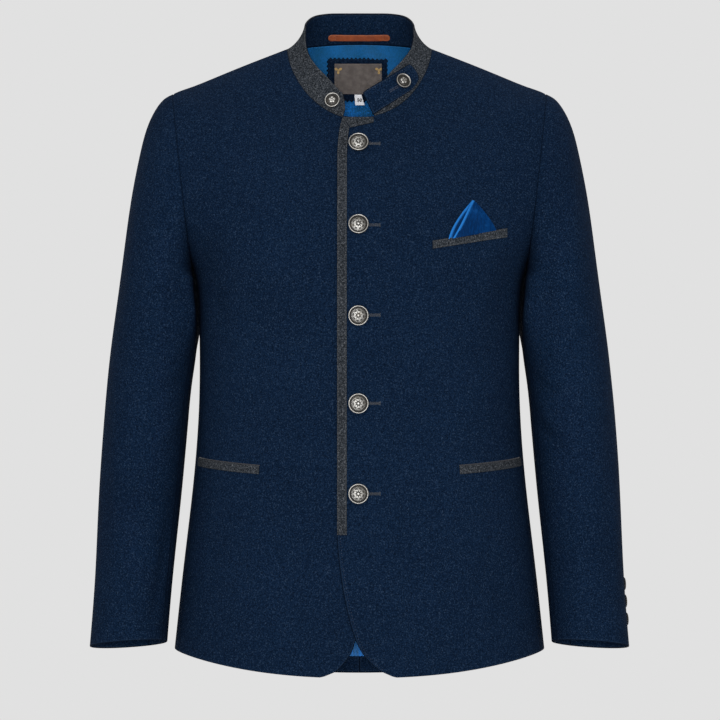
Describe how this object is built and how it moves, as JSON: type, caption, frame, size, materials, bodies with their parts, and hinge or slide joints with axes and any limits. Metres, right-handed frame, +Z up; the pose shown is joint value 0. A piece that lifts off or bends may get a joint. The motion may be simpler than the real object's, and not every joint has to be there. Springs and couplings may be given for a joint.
{
  "type": "trachten coat",
  "caption": "Hip-length navy wool folk jacket with a grey stand collar and trim, metal buttons and long sleeves, worn hollow.",
  "frame": {"origin": "middle of the neck at the height where the shoulder line meets the collar, where the wearer holds the coat up", "axes": "+Z up, -Y to the wearer's front, +X to the wearer's left"},
  "size_m": [0.6292, 0.2879, 0.7833],
  "materials": {
    "navy_wool": "milled navy wool, dry and slightly mottled",
    "grey_felt": "grey melange felt",
    "blue_satin": "bright blue satin lining",
    "tan_leather": "smooth tan leather",
    "old_silver": "antiqued silver, dark in the hollows",
    "label_satin": "taupe woven satin",
    "white_tape": "white woven tape"
  },
  "bodies": {
    "root": {"front_left": "navy_wool", "front_right": "navy_wool", "side_left": "navy_wool", "side_right": "navy_wool", "back_left": "navy_wool", "back_right": "navy_wool", "hem_fold_left": "navy_wool", "hem_fold_right": "navy_wool", "sleeve_top_upper_left": "navy_wool", "sleeve_top_upper_right": "navy_wool", "sleeve_top_lower_left": "navy_wool", "sleeve_top_lower_right": "navy_wool", "sleeve_under_left": "navy_wool", "sleeve_under_right": "navy_wool", "collar_inner": "navy_wool", "throat_strap": "navy_wool", "label_backing": "navy_wool", "collar_outer": "grey_felt", "front_trim": "grey_felt", "neck_trim": "grey_felt", "hip_welt_left": "grey_felt", "hip_welt_right": "grey_felt", "chest_welt": "grey_felt", "lining_left": "blue_satin", "lining_right": "blue_satin", "pocket_square": "blue_satin", "hanging_loop": "tan_leather", "label": "label_satin", "size_tape": "white_tape", "front_button_1": "old_silver", "front_button_2": "old_silver", "front_button_3": "old_silver", "front_button_4": "old_silver", "front_button_5": "old_silver", "collar_button_right": "old_silver", "collar_button_left": "old_silver", "cuff_button_left_1": "old_silver", "cuff_button_left_2": "old_silver", "cuff_button_left_3": "old_silver", "cuff_button_right_1": "old_silver", "cuff_button_right_2": "old_silver", "cuff_button_right_3": "old_silver"}
  },
  "joints": []
}
